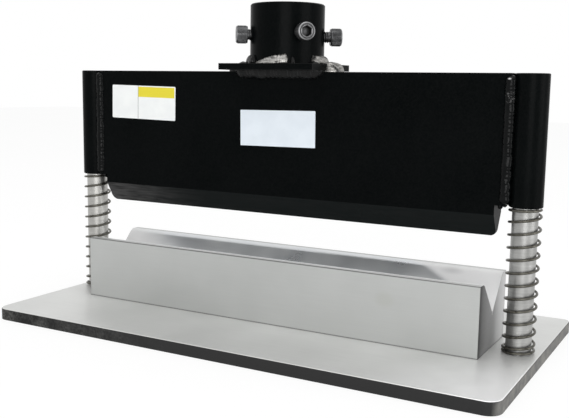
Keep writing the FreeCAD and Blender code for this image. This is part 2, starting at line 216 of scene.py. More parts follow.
# %% Rubbed edges of a box
def make_edges():
    """A point on a box's face touches one pair of sides. Near an edge it touches two."""
    tree, given, result = new_group(
        "rubbed_edges",
        "ShaderNodeTree",
        {
            "Position": (VECTOR, None),
            "Centre": (VECTOR, None),
            "Half Size": (VECTOR, None),
            "Width": (FLOAT, 0.001),
        },
        {"Mask": FLOAT},
    )
    offset = vector_calc(tree, "SUBTRACT", given["Position"], given["Centre"])
    outside = vector_calc(
        tree, "SUBTRACT", vector_calc(tree, "ABSOLUTE", offset), given["Half Size"]
    )
    axes = add(tree, "ShaderNodeSeparateXYZ", {0: outside})
    low = calc(tree, "MULTIPLY", given["Width"], -1.0)
    touching = -1.0
    for axis in axes.outputs:
        touching = calc(tree, "ADD", ramp(tree, axis, low, 0.0), touching)
    plug(tree, result["Mask"], calc(tree, "MAXIMUM", touching, 0.0, clamp=True))
    return tree


EDGES = make_edges()
print("shader groups", PATCHES.name, GRAIN.name, EDGES.name)

# %% [markdown]
# ## A material, in small steps
#
# Each material starts from one Principled shader and the object's own coordinates, which are
# metres in the tool's frame. The helpers below read a pattern, blend two colours or two
# roughnesses by a mask, and raise a fine relief.


# %% Material helpers
class Finish:
    """One material being built: its tree, its shader and the point being shaded."""

    def __init__(self, name, **constants):
        self.material = bpy.data.materials.new(name)
        self.material.use_nodes = True
        self.tree = self.material.node_tree
        self.shader = self.tree.nodes["Principled BSDF"]
        self.point = add(self.tree, "ShaderNodeTexCoord").outputs["Object"]
        self.axes = add(self.tree, "ShaderNodeSeparateXYZ", {0: self.point}).outputs
        for label, value in constants.items():
            self.shader.inputs[label.replace("_", " ")].default_value = value

    def mask(self, group, **inputs):
        """Reads one of the shared patterns at this point."""
        node = add(self.tree, "ShaderNodeGroup", node_tree=group)
        plug(self.tree, node.inputs["Position"], self.point)
        for label, value in inputs.items():
            plug(self.tree, node.inputs[label.replace("_", " ")], value)
        return node.outputs["Mask"]

    def blend(self, mask, first, second):
        """Blends two colours, given as greys, red-green-blue or sockets."""
        inputs = {0: mask, 6: paint(first), 7: paint(second)}
        return add(self.tree, "ShaderNodeMix", inputs, data_type="RGBA").outputs[2]

    def level(self, mask, low, high):
        """Blends two numbers by a mask."""
        return ramp(self.tree, mask, 0.0, 1.0, low, high)

    def times(self, first, second):
        """Weakens one mask by a share or by another mask."""
        return calc(self.tree, "MULTIPLY", first, second)

    def ramp(self, value, low, high, to_low=0.0, to_high=1.0, smooth=False):
        """Carries a value from one range to another, held at both ends."""
        return ramp(self.tree, value, low, high, to_low, to_high, smooth)

    def relief(self, height, distance):
        """Raises fine relief, with its height in metres."""
        values = {"Height": height, "Strength": 1.0, "Distance": distance}
        bump = add(self.tree, "ShaderNodeBump", values)
        plug(self.tree, self.shader.inputs["Normal"], bump.outputs[0])

    def set(self, **inputs):
        """Plugs results into the shader."""
        for label, value in inputs.items():
            plug(self.tree, self.shader.inputs[label.replace("_", " ")], value)
        return self.material


def paint(colour):
    """A grey, a red-green-blue or a socket, as a colour input takes it."""
    if isinstance(colour, bpy.types.NodeSocket):
        return colour
    if isinstance(colour, (int, float)):
        return (colour, colour, colour, 1.0)
    return (*colour, 1.0)


def soft_spot(finish, centre, half, sharpness=0.3):
    """A soft oval round a point: one inside, fading to nothing at the edge."""
    offset = vector_calc(finish.tree, "SUBTRACT", finish.point, centre)
    scaled = vector_calc(finish.tree, "DIVIDE", offset, half)
    away = add(finish.tree, "ShaderNodeVectorMath", {0: scaled}, operation="LENGTH")
    return finish.ramp(away.outputs["Value"], 1.0, sharpness, smooth=True)


def dress(material, *names):
    """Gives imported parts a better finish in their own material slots."""
    for name in names:
        for slot in nodes[name].material_slots:
            slot.material = material
    print(material.name, "on", ", ".join(names))


# %% [markdown]
# ## The base plate
#
# The plate was ground bright on top and left in black mill scale on its long edges. Its short
# edges were sawn and dressed, which leaves upright scratches on mid grey. Height above the bed
# tells top from edge, and the direction of the face tells a long edge from a short one.

# %% Base plate finish
x0, y0, z0, x1, y1, z1 = corners("base_plate")
TOP_EDGE = z1 - 0.25 * MM
SCUFFED_LENGTH = 0.16
HIGHLIGHT_EDGE, HIGHLIGHT_CORE = 0.09, 0.02  # distances from the near right corner
finish = Finish("ground_plate", Specular_IOR_Level=0.08)
top = finish.ramp(finish.axes[2], TOP_EDGE - 0.1 * MM, TOP_EDGE)
facing = add(finish.tree, "ShaderNodeNewGeometry").outputs["Normal"]
facing_x = add(finish.tree, "ShaderNodeSeparateXYZ", {0: facing}).outputs[0]
short_edge = finish.ramp(calc(finish.tree, "ABSOLUTE", facing_x), 0.5, 0.9)
cloud = finish.mask(PATCHES, Size=0.07, Detail=3.0)
speck = finish.mask(PATCHES, Size=0.0016, Detail=3.0)
rolled = finish.mask(GRAIN, Lines_Per_Metre=(40, 1300, 1))
upright = finish.mask(GRAIN, Lines_Per_Metre=(900, 900, 40))
toward_left = finish.ramp(finish.axes[0], x0 + SCUFFED_LENGTH, x0)
scuff = finish.times(finish.mask(PATCHES, Size=0.014, Detail=6.0), speck)
scuff = finish.times(scuff, toward_left)
ground = finish.blend(cloud, (0.66, 0.665, 0.65), (0.76, 0.765, 0.75))
ground = finish.blend(finish.times(rolled, 0.16), ground, 0.56)
# Painted highlight: round the near right corner the ground top is blended towards near white.
from_corner = add(finish.tree, "ShaderNodeVectorMath", {0: finish.point, 1: (x1, y0, z1)},
                  operation="DISTANCE").outputs["Value"]
near_corner = finish.ramp(from_corner, HIGHLIGHT_EDGE, HIGHLIGHT_CORE, smooth=True)
patchy = calc(finish.tree, "ADD", cloud, 0.35, clamp=True)
painted_highlight = finish.times(near_corner, patchy)
ground = finish.blend(painted_highlight, ground, 0.97)
scale = finish.blend(toward_left, 0.030, 0.010)
scale = finish.blend(scuff, scale, (0.13, 0.13, 0.125))
rust = finish.mask(PATCHES, Size=0.006, Detail=6.0)
sawn = finish.blend(upright, 0.085, 0.15)
sawn = finish.blend(rust, sawn, (0.21, 0.205, 0.19))
edge = finish.blend(short_edge, scale, sawn)
rough = finish.blend(top, 0.55, finish.level(cloud, 0.36, 0.44))
finish.relief(finish.blend(top, upright, rolled), 0.000015)
finish.set(Base_Color=finish.blend(top, edge, ground), Roughness=rough)
dress(finish.set(Metallic=finish.level(top, 0.0, 0.5)), "base_plate")

# %% [markdown]
# ## The V block
#
# The block is milled on its outside and polished in the V, where the sheet slides. The ends
# were sawn. Which zone a point is in follows from where it lies, so one material does it all.
# In the V a glossier, more metallic middle stretch reflects the beam darkly, and both ends are
# lighter and more matte. The ends' bounds follow where the V looks lit, so that lightness is
# painted light.

# %% V block finish
x0, y0, z0, x1, y1, z1 = corners("v_die")
LAND = 4.2 * MM
SLANT = 2.5  # how far the glossy middle's ends lean along the V for each step across it
MIDDLE_FROM, MIDDLE_FULL = -0.110, -0.045
MIDDLE_TO, MIDDLE_GONE = 0.146, 0.156
DARK_SPOT_PLACE, DARK_SPOT_HALF = (0.119, 0.0225, 0.0475), (0.016, 0.006, 0.0055)
PRINT_PLACE, PRINT_HALF = (0.091, y0, 0.037), (0.009, 0.004, 0.007)
finish = Finish("milled_block")
across = calc(finish.tree, "ABSOLUTE", finish.axes[1])
along = calc(finish.tree, "ABSOLUTE", finish.axes[0])
in_groove = finish.ramp(across, y1 - LAND, y1 - LAND - 0.6 * MM)
# The polished V is glossier in its middle stretch. Its lighter, matte ends stand where the V looks
# lit: painted light.
slant = calc(finish.tree, "MULTIPLY_ADD", across, SLANT, finish.axes[0])
middle_begun = finish.ramp(slant, MIDDLE_FROM, MIDDLE_FULL, smooth=True)
glossy_middle = finish.times(middle_begun, finish.ramp(slant, MIDDLE_GONE, MIDDLE_TO, smooth=True))
dark_spot = soft_spot(finish, DARK_SPOT_PLACE, DARK_SPOT_HALF, 0.2)
fingerprint = soft_spot(finish, PRINT_PLACE, PRINT_HALF)
on_end = finish.ramp(along, x1 - 0.3 * MM, x1 - 0.1 * MM)
cloud = finish.mask(PATCHES, Size=0.06, Detail=3.0)
stain = finish.mask(PATCHES, Size=0.03, Detail=2.0)
speck = finish.mask(PATCHES, Size=0.002, Detail=4.0)
milled = finish.mask(GRAIN, Lines_Per_Metre=(30, 300, 1500))
drawn = finish.mask(GRAIN, Lines_Per_Metre=(1.4, 700, 300))
sawn = finish.mask(GRAIN, Lines_Per_Metre=(1, 160, 1100))
side = finish.blend(cloud, (0.455, 0.465, 0.455), (0.50, 0.51, 0.50))
side = finish.blend(finish.times(milled, 0.16), side, 0.40)
polished = finish.blend(stain, (0.66, 0.68, 0.70), (0.76, 0.775, 0.78))
polished = finish.blend(finish.times(drawn, 0.06), polished, (0.50, 0.52, 0.54))
polished = finish.blend(glossy_middle, finish.blend(stain, 0.80, 0.86), polished)
# A soft dark spot in the V near its right end.
polished = finish.blend(dark_spot, polished, (0.15, 0.155, 0.17))
end = finish.blend(sawn, 0.055, 0.085)
end = finish.blend(speck, end, 0.07)
end = finish.blend(finish.ramp(finish.axes[1], y0, y1), end, 0.55)
side = finish.blend(finish.times(fingerprint, 0.3), side, (0.41, 0.41, 0.37))
colour = finish.blend(in_groove, side, polished)
colour = finish.blend(on_end, colour, end)
# Painted contact shadow: the block is darkened along its foot.
painted_contact_shadow = finish.ramp(finish.axes[2], z0 + 0.9 * MM, z0 + 0.2 * MM)
colour = finish.blend(finish.times(painted_contact_shadow, 0.75), colour, 0.05)
front_rim = finish.times(finish.ramp(finish.axes[2], z1 - 0.8 * MM, z1 - 0.3 * MM),
                         finish.ramp(across, y1 - 0.9 * MM, y1 - 0.5 * MM))
colour = finish.blend(finish.times(front_rim, 0.85), colour, 0.05)
rough_groove = finish.blend(glossy_middle, 0.5, finish.level(stain, 0.27, 0.34))
rough = finish.blend(in_groove, 0.42, rough_groove)
finish.relief(finish.level(in_groove, milled, 0.5), 0.00001)
finish.set(Base_Color=colour, Roughness=finish.blend(on_end, rough, 0.5))
mirror = finish.times(in_groove, glossy_middle)
metal = finish.blend(in_groove, 0.7, finish.level(mirror, 0.3, 0.85))
dress(finish.set(Metallic=metal), "v_die")

# %% [markdown]
# ## The guide posts
#
# Posts are cold-drawn round bar, turned and polished, so the finest marks run round them and
# change only with height.


# %% Post finish
def turned_bar(name, dull, bright):
    """Round bar whose tool marks ring it. Its two greys are given per bar, and the right post's
    darker pair is painted shade.
    """
    finish = Finish(name, Metallic=0.9)
    rings = finish.mask(GRAIN, Lines_Per_Metre=(6, 6, 1700))
    streak = finish.mask(PATCHES, Size=0.011, Detail=4.0)
    colour = finish.blend(streak, dull, bright)
    darker = tuple(0.6 * v for v in dull)
    colour = finish.blend(finish.times(rings, 0.30), colour, darker)
    finish.relief(rings, 0.000010)
    return finish.set(Base_Color=colour, Roughness=finish.level(streak, 0.34, 0.42))


# The right post gets darker greys than the left: painted shade.
dress(turned_bar("turned_bar_left", (0.40, 0.395, 0.375), (0.50, 0.495, 0.475)), "guide_post_left")
dress(turned_bar("turned_bar_right_shaded", (0.32, 0.32, 0.31), (0.44, 0.44, 0.43)), "guide_post_right")

# %% [markdown]
# ## Black enamel
#
# The beam, its sleeves, the small plate and the collar were sprayed together after welding.
# Sprayed enamel dries with a faint ripple, gathers dust and rubs grey along its corners.


# %% Enamel finish
def enamel(name, edge_centre, edge_half, bevel_top=None):
    """Black enamel with rubbed corners. Below a bevel's top the colour is lighter, most towards
    the left end: a painted reflection of the bright V block.
    """
    finish = Finish(name, Metallic=0.0, Specular_IOR_Level=0.026)
    film = finish.mask(PATCHES, Size=0.05, Detail=3.0)
    dust = finish.mask(PATCHES, Size=0.0011, Detail=2.0)
    peel = finish.mask(PATCHES, Size=0.0032, Detail=2.0)
    rub = finish.mask(EDGES, Centre=edge_centre, Half_Size=edge_half, Width=0.5 * MM)
    worn = finish.times(rub, finish.mask(PATCHES, Size=0.02, Detail=5.0))
    colour = finish.blend(film, (0.0005, 0.0011, 0.0012), (0.0014, 0.0021, 0.0022))
    colour = finish.blend(finish.times(dust, 0.06), colour, (0.03, 0.03, 0.03))
    colour = finish.blend(finish.times(worn, 0.35), colour, (0.05, 0.05, 0.05))
    # Painted reflection: below the bevel's top the enamel is made lighter, most towards the left
    # end.
    if bevel_top is not None:
        below = finish.ramp(finish.axes[2], bevel_top, bevel_top - 0.3 * MM)
        low_x = edge_centre[0] - edge_half[0]
        toward_left = finish.ramp(finish.axes[0], low_x + 0.10, low_x, smooth=True)
        scratch = finish.mask(GRAIN, Lines_Per_Metre=(60, 500, 500))
        bevel_reflection_dim = finish.blend(scratch, (0.0075, 0.0092, 0.0092), (0.010, 0.0115, 0.0115))
        bevel_reflection_bright = finish.blend(scratch, 0.025, 0.075)
        colour = finish.blend(below, colour, finish.blend(toward_left, bevel_reflection_dim, bevel_reflection_bright))
    finish.relief(peel, 0.00003)
    return finish.set(Base_Color=colour, Roughness=finish.level(film, 0.26, 0.34))


def enamel_for(node, bevel_top=None):
    """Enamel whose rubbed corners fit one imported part."""
    low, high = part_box(node)
    return enamel("enamel_" + node, tuple((low + high) / 2), tuple((high - low) / 2), bevel_top)


BEVEL_TOP = 94.0 * MM
dress(enamel_for("punch_beam", BEVEL_TOP), "punch_beam")
for name in ("top_plate", "ram_collar", "guide_sleeve_left", "guide_sleeve_right"):
    dress(enamel_for(name), name)

# %% [markdown]
# ## Black oxide
#
# Socket screws are blackened in a salt bath: a thin, slightly shiny skin. On the cap screws the
# rims get a painted highlight of light grey, and rings numbered below zero are darker.

# %% Oxide finish
finish = Finish("black_oxide", Metallic=0.85)
skin = finish.mask(PATCHES, Size=0.0022, Detail=4.0)
colour = finish.blend(skin, (0.050, 0.051, 0.053), (0.105, 0.106, 0.108))
rim = add(finish.tree, "ShaderNodeAttribute", attribute_name="rim").outputs["Fac"]
# Rings numbered below zero are darkened; rings above zero get a painted highlight of light grey.
colour = finish.blend(finish.ramp(rim, 0.0, -1.0), colour, 0.006)
colour = finish.blend(rim, colour, (0.42, 0.42, 0.43))
finish.relief(skin, 0.00001)
OXIDE = finish.set(Base_Color=colour, Roughness=finish.level(skin, 0.30, 0.42))
die_screws = [f"die_screw_{k}" for k in range(1, 5)]
dress(OXIDE, "post_screw_left", "post_screw_right", *die_screws)

# %% [markdown]
# ## Weld finishes
#
# Beads that were sprayed over are enamel on lumpy metal. Some on the small plate were ground or
# added later, and those show bare weld metal, silver on the crests and sooty in the valleys.


# %% Painted bead and bare bead
def painted_bead(name, gloss, low, high):
    """Enamel over lumpy metal, between two near-black greys."""
    finish = Finish(name, Metallic=0.0, Specular_IOR_Level=gloss)
    soot = finish.mask(PATCHES, Size=0.004, Detail=2.0)
    finish.relief(finish.mask(PATCHES, Size=0.0016, Detail=1.0), 0.00004)
    finish.set(Roughness=finish.level(soot, 0.16, 0.26))
    return finish, finish.blend(soot, low, high)


finish, colour = painted_bead("painted_bead", 0.16, (0.0020, 0.0024, 0.0026), 0.0075)
PAINTED_BEAD = finish.set(Base_Color=colour)

# Painted highlights on the right sleeve's front bead: a bright glint near its top and speckled
# glints lower down.
GLINT_PLACE, GLINT_HALF = (0.1583, -0.0105, 0.1764), (0.0015, 0.003, 0.0008)
GLINT_SPECKLE_PLACE, GLINT_SPECKLE_HALF = (0.1590, -0.0100, 0.1655), (0.0040, 0.004, 0.0045)
near_black, lighter = (0.0006, 0.0010, 0.0011), (0.0022, 0.0026, 0.0027)
finish, colour = painted_bead("sleeve_bead", 0.10, near_black, lighter)
painted_glint = soft_spot(finish, GLINT_PLACE, GLINT_HALF, 0.1)
painted_speckle_glints = soft_spot(finish, GLINT_SPECKLE_PLACE, GLINT_SPECKLE_HALF, 0.4)
speckle_pattern = finish.ramp(finish.mask(PATCHES, Size=0.0011, Detail=3.0), 0.6, 0.9)
colour = finish.blend(finish.times(painted_speckle_glints, speckle_pattern), colour, 0.11)
SLEEVE_BEAD = finish.set(Base_Color=finish.blend(painted_glint, colour, 0.6))

finish = Finish("bare_bead", Metallic=1.0)
soot = finish.mask(PATCHES, Size=0.005, Detail=6.0)
streak = finish.mask(GRAIN, Lines_Per_Metre=(180, 180, 1500))
colour = finish.blend(streak, (0.13, 0.127, 0.12), (0.50, 0.49, 0.47))
colour = finish.blend(finish.ramp(soot, 0.70, 1.0), colour, (0.04, 0.04, 0.04))
finish.relief(streak, 0.00008)
BARE_BEAD = finish.set(Base_Color=colour, Roughness=finish.level(soot, 0.30, 0.5))
print("bead finishes", PAINTED_BEAD.name, SLEEVE_BEAD.name, BARE_BEAD.name)

# %% [markdown]
# ## Spring wire
#
# The springs are hard-drawn wire with a brownish scale in soft patches.

# %% Wire finish
finish = Finish("spring_wire", Metallic=0.9)
scale = finish.mask(PATCHES, Size=0.003, Detail=4.0)
colour = finish.blend(scale, (0.062, 0.058, 0.048), (0.135, 0.130, 0.112))
finish.relief(scale, 0.00001)
WIRE = finish.set(Base_Color=colour, Roughness=finish.level(scale, 0.26, 0.38))

# %% [markdown]
# ## From a Geometry Nodes tree to a plain piece
#
# A modifier on a small carrier object runs a tree. Its inputs are set by each socket's
# identifier, the evaluated result is copied to a plain mesh, and the carrier is thrown away, so
# the finished piece has no modifier and sits at the origin.


# %% Growing a piece
def input_ids(tree):
    """The identifier of each input socket, by its name."""
    return {
        item.name: item.identifier
        for item in tree.interface.items_tree
        if item.item_type == "SOCKET" and item.in_out == "INPUT"
    }


def grow(name, carrier_data, tree, **values):
    """Runs a tree on a carrier and returns the result as a plain mesh object."""
    carrier = bpy.data.objects.new("carrier", carrier_data)
    bpy.context.collection.objects.link(carrier)
    modifier = carrier.modifiers.new("tree", "NODES")
    modifier.node_group = tree
    ids = input_ids(tree)
    for label, value in values.items():
        modifier[ids[label.replace("_", " ")]] = value
    carrier.update_tag()
    bpy.context.view_layer.update()
    ready = carrier.evaluated_get(bpy.context.evaluated_depsgraph_get())
    mesh = bpy.data.meshes.new_from_object(ready)
    mesh.name = name
    piece = bpy.data.objects.new(name, mesh)
    bpy.context.collection.objects.link(piece)
    bpy.data.objects.remove(carrier)
    print(name, "has", len(mesh.polygons), "faces")
    return piece


def hand_over(piece, body, slot, *replaced):
    """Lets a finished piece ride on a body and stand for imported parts."""
    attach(piece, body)
    if replaced:
        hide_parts(*replaced)


# %% [markdown]
# ## The coil springs
#
# A compression spring is one wire wound right-handed, open in the middle and closed at both
# ends so that it stands flat. It could be a screw modifier, but that has one pitch. Here a line
# is resampled into many points, each point is sent round the axis, and its height is the
# running total of a pitch that opens and closes smoothly.


# %% Coil tree
def make_coil():
    tree, given, result = new_group(
        "wound_coil",
        "GeometryNodeTree",
        {
            "Geometry": (GEOMETRY, None),
            "Foot": (VECTOR, None),
            "Radius": (FLOAT, 0.01),
            "Wire Radius": (FLOAT, 0.001),
            "Turns": (FLOAT, 10.0),
            "Closed Pitch": (FLOAT, 0.002),
            "Open Pitch": (FLOAT, 0.008),
            "Low Closed": (FLOAT, 0.5),
            "Low Open": (FLOAT, 2.0),
            "High Closed": (FLOAT, 0.3),
            "High Open": (FLOAT, 0.8),
            "Start Angle": (FLOAT, 0.0),
            "Steps Per Turn": (INTEGER, 40),
            "Sides": (INTEGER, 12),
            "Material": (MATERIAL, None),
        },
        {"Geometry": GEOMETRY},
    )
    steps = calc(tree, "MULTIPLY", given["Turns"], given["Steps Per Turn"])
    line = add(tree, "GeometryNodeCurvePrimitiveLine", {"End": (0, 0, 1)})
    count = calc(tree, "ADD", steps, 1.0)
    points = add(tree, "GeometryNodeResampleCurve", {"Curve": line.outputs[0], "Count": count})
    share = add(tree, "GeometryNodeSplineParameter").outputs["Factor"]
    turn = calc(tree, "MULTIPLY", share, given["Turns"])
    left = calc(tree, "SUBTRACT", given["Turns"], turn)
    low = ramp(tree, turn, given["Low Closed"], given["Low Open"], smooth=True)
    high = ramp(tree, left, given["High Closed"], given["High Open"], smooth=True)
    opening = calc(tree, "MULTIPLY", low, high)
    pitch = ramp(tree, opening, 0.0, 1.0, given["Closed Pitch"], given["Open Pitch"])
    rise = calc(tree, "DIVIDE", pitch, given["Steps Per Turn"])
    height = add(tree, "GeometryNodeAccumulateField", {0: rise}).outputs["Trailing"]
    angle = calc(tree, "MULTIPLY_ADD", turn, math.tau, given["Start Angle"])
    x = calc(tree, "MULTIPLY", calc(tree, "COSINE", angle), given["Radius"])
    y = calc(tree, "MULTIPLY", calc(tree, "SINE", angle), given["Radius"])
    place = add(tree, "ShaderNodeCombineXYZ", {0: x, 1: y, 2: height}).outputs[0]
    place = vector_calc(tree, "ADD", place, given["Foot"])
    values = {"Geometry": points.outputs[0], "Position": place}
    wound = add(tree, "GeometryNodeSetPosition", values)
    ring = {"Resolution": given["Sides"], "Radius": given["Wire Radius"]}
    profile = add(tree, "GeometryNodeCurvePrimitiveCircle", ring)
    values = {"Curve": wound.outputs[0], "Profile Curve": profile.outputs[0], "Fill Caps": True}
    tube = add(tree, "GeometryNodeCurveToMesh", values)
    finish_geometry(tree, tube.outputs[0], given["Material"], result["Geometry"])
    return tree


def finish_geometry(tree, geometry, material, target):
    """The end of every tree: smooth shading, real geometry and a material."""
    smooth = add(tree, "GeometryNodeSetShadeSmooth", {"Geometry": geometry})
    real = add(tree, "GeometryNodeRealizeInstances", {"Geometry": smooth.outputs[0]})
    values = {"Geometry": real.outputs[0], "Material": material}
    final = add(tree, "GeometryNodeSetMaterial", values)
    plug(tree, target, final.outputs[0])


COIL = make_coil()

# %% [markdown]
# The two springs weren't wound quite alike. Their turns and starting angles below are fitted
# values, not counted ones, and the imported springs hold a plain 12 turns.

# %% Wind a spring round each post
WIRE_DIAMETER = 1.6 * MM
LOW_CLOSED, LOW_OPEN = 0.5, 2.0
HIGH_CLOSED, HIGH_OPEN = 0.3, 0.8
SPRING_WINDING = {
    "left": {"turns": 12.44, "start": math.radians(289)},
    "right": {"turns": 12.59, "start": math.radians(150)},
}


def open_pitch(height, closed, turns):
    """The pitch of the open turns, so that all the turns together reach the height."""
    shut = (LOW_CLOSED + LOW_OPEN + HIGH_CLOSED + HIGH_OPEN) / 2
    return (height - closed * shut) / (turns - shut)


for side, winding in SPRING_WINDING.items():
    x0, y0, z0, x1, y1, z1 = corners("spring_" + side)
    wound_height = z1 - z0 - WIRE_DIAMETER
    closed_pitch = WIRE_DIAMETER * 1.02
    spring = grow(
        "wound_spring_" + side,
        bpy.data.meshes.new("empty"),
        COIL,
        Foot=((x0 + x1) / 2, (y0 + y1) / 2, z0 + WIRE_DIAMETER / 2),
        Radius=(x1 - x0 - WIRE_DIAMETER) / 2,
        Wire_Radius=WIRE_DIAMETER / 2,
        Turns=winding["turns"],
        Closed_Pitch=closed_pitch,
        Open_Pitch=open_pitch(wound_height, closed_pitch, winding["turns"]),
        Low_Closed=LOW_CLOSED,
        Low_Open=LOW_OPEN,
        High_Closed=HIGH_CLOSED,
        High_Open=HIGH_OPEN,
        Start_Angle=winding["start"],
        Steps_Per_Turn=48,
        Sides=14,
        Material=WIRE,
    )
    hand_over(spring, "base", "spring_steel", "spring_" + side)
    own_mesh(spring)

# %% [markdown]
# ## Weld beads
#
# A hand-laid bead is a row of overlapping frozen puddles. It could be a smooth rod with a bump
# texture, but its outline has to be lumpy too. The tree sweeps an oval along a path, then lifts
# each point by a rounded scallop that repeats every puddle, bends the scallops into crescents,
# adds slow lumps, and draws both ends in to a rounded stop.


# %% Bead tree
def make_bead():
    tree, given, result = new_group(
        "weld_bead",
        "GeometryNodeTree",
        {
            "Geometry": (GEOMETRY, None),
            "Width": (FLOAT, 0.003),
            "Height": (FLOAT, 0.003),
            "Puddle": (FLOAT, 0.002),
            "Ripple": (FLOAT, 0.0003),
            "Lumps": (FLOAT, 0.0008),
            "Lump Size": (FLOAT, 0.006),
            "End Taper": (FLOAT, 0.004),
            "Seed": (FLOAT, 0.0),
            "Lowest": (FLOAT, 0.0),
            "Step": (FLOAT, 0.0003),
            "Sides": (INTEGER, 20),
            "Material": (MATERIAL, None),
        },
        {"Geometry": GEOMETRY},
    )
    path = add(tree, "GeometryNodeResampleCurve", {"Curve": given["Geometry"]}, mode="LENGTH")
    plug(tree, path.inputs["Length"], given["Step"])
    upright = add(tree, "GeometryNodeSetCurveNormal", {"Curve": path.outputs[0]}, mode="Z_UP")
    along = add(tree, "GeometryNodeSplineParameter").outputs
    left = calc(tree, "DIVIDE", along["Length"], calc(tree, "MAXIMUM", along["Factor"], 0.0001))
    kept = add(tree, "GeometryNodeStoreNamedAttribute",
               {"Geometry": upright.outputs[0], "Name": "along", "Value": along["Length"]},
               data_type="FLOAT", domain="POINT")
    whole = add(tree, "GeometryNodeStoreNamedAttribute",
                {"Geometry": kept.outputs[0], "Name": "whole", "Value": left},
                data_type="FLOAT", domain="POINT")
    place = add(tree, "GeometryNodeInputPosition").outputs[0]
    cored = add(tree, "GeometryNodeStoreNamedAttribute",
                {"Geometry": whole.outputs[0], "Name": "core", "Value": place},
                data_type="FLOAT_VECTOR", domain="POINT")
    circle = add(tree, "GeometryNodeCurvePrimitiveCircle",
                 {"Resolution": given["Sides"], "Radius": 1.0})
    oval_size = add(tree, "ShaderNodeCombineXYZ", {0: given["Width"], 1: given["Height"], 2: 1.0})
    oval = add(tree, "GeometryNodeTransform",
               {"Geometry": circle.outputs[0], "Scale": oval_size.outputs[0]})
    swept = add(tree, "GeometryNodeCurveToMesh",
                {"Curve": cored.outputs[0], "Profile Curve": oval.outputs[0], "Fill Caps": True})
    stored = {}
    for label, kind in (("along", "FLOAT"), ("whole", "FLOAT"), ("core", "FLOAT_VECTOR")):
        reader = add(tree, "GeometryNodeInputNamedAttribute", {"Name": label}, data_type=kind)
        stored[label] = reader.outputs["Attribute"]
    out = vector_calc(tree, "SUBTRACT", place, stored["core"])
    away = add(tree, "ShaderNodeVectorMath", {0: out}, operation="LENGTH").outputs["Value"]
    crescent = calc(tree, "MULTIPLY", away, 0.6)
    behind = calc(tree, "SUBTRACT", stored["along"], crescent)
    phase = calc(tree, "DIVIDE", behind, given["Puddle"])
    shift = add(tree, "ShaderNodeCombineXYZ", {0: given["Seed"], 1: given["Seed"], 2: 0.0})
    seeded = vector_calc(tree, "ADD", place, shift.outputs[0])
    slow = add(tree, "ShaderNodeTexNoise",
               {"Vector": seeded, "Scale": calc(tree, "DIVIDE", 1.0, given["Lump Size"]),
                "Detail": 2.0})
    jitter = calc(tree, "MULTIPLY", slow.outputs[0], 4.0)
    saw = calc(tree, "FRACT", calc(tree, "ADD", phase, jitter))
    centred = calc(tree, "MULTIPLY_ADD", saw, 2.0, -1.0)
    scallop = calc(tree, "SUBTRACT", 0.6, calc(tree, "MULTIPLY", centred, centred))
    lumps = calc(tree, "MULTIPLY_ADD", slow.outputs[0], 2.0, -1.0)
    lift = calc(tree, "MULTIPLY", scallop, given["Ripple"])
    lift = calc(tree, "ADD", lift, calc(tree, "MULTIPLY", lumps, given["Lumps"]))
    grown = calc(tree, "ADD", 1.0, calc(tree, "DIVIDE", lift, given["Width"]))
    to_end = calc(tree, "SUBTRACT", stored["whole"], stored["along"])
    nearest = calc(tree, "MINIMUM", stored["along"], to_end)
    fade = calc(tree, "DIVIDE", nearest, given["End Taper"], clamp=True)
    round_end = calc(tree, "SQRT", calc(tree, "MULTIPLY_ADD", fade, 0.97, 0.03))
    scale = calc(tree, "MULTIPLY", grown, round_end)
    moved = add(tree, "ShaderNodeVectorMath", {0: out, "Scale": scale}, operation="SCALE")
    final = vector_calc(tree, "ADD", stored["core"], moved.outputs[0])
    floor_level = add(tree, "ShaderNodeCombineXYZ", {0: -1.0, 1: -1.0, 2: given["Lowest"]})
    final = vector_calc(tree, "MAXIMUM", final, floor_level.outputs[0])
    shaped = add(tree, "GeometryNodeSetPosition",
                 {"Geometry": swept.outputs[0], "Position": final})
    clean = shaped.outputs[0]
    for label in stored:
        clean = add(tree, "GeometryNodeRemoveAttribute",
                    {"Geometry": clean, "Name": label}).outputs[0]
    finish_geometry(tree, clean, given["Material"], result["Geometry"])
    return tree


BEAD = make_bead()


# %% Laying a bead along a path
def path_curve(points):
    """An open path through a few points, as a curve that a tree can sweep."""
    curve = bpy.data.curves.new("path", "CURVE")
    curve.dimensions = "3D"
    spline = curve.splines.new("POLY")
    spline.points.add(len(points) - 1)
    for place, point in zip(points, spline.points):
        point.co = (*place, 1.0)
    return curve


def run_bead(name, points, material, seed, lowest=0.0, **sizes):
    """A rippled bead along some points. Its sizes are in millimetres."""
    metres = {label: value * MM for label, value in sizes.items()}
    return grow(name, path_curve(points), BEAD, Material=material, Seed=seed, Lowest=lowest,
                **metres)


def lay_bead(node, points, material, slot, seed, **sizes):
    """A rippled bead that stands for a packed weld."""
    bead = run_bead("bead_" + node, points, material, seed, **sizes)
    hand_over(bead, "upper_tool", slot, node)
    return bead


# %% [markdown]
# The long beads beside the sleeves fill the groove between a flat face and a round tube, so
# their middle lies a little inside the beam's face.

# %% Beads beside the sleeves
SLEEVE_BEAD_INSET = 1.6 * MM
SLEEVE_BEAD_BACK = 0.5 * MM
beam = corners("punch_beam")
seed = 1.0
for side, sign in (("left", -1), ("right", 1)):
    for face, toward in (("front", -1), ("back", 1)):
        name = f"sleeve_weld_{side}_{face}"
        x0, y0, z0, x1, y1, z1 = corners(name)
        x = sign * (beam[3] - SLEEVE_BEAD_BACK)
        y = toward * (beam[4] - SLEEVE_BEAD_INSET)
        ends = [(x, y, z0 + 0.5 * MM), (x, y, z1 - 1.2 * MM)]
        lay_bead(name, ends, SLEEVE_BEAD, "painted_weld", seed, Width=3.7, Height=3.7,
                 Puddle=3.1, Ripple=0.22, Lumps=0.9, Lump_Size=6, End_Taper=2)
        seed += 1.0

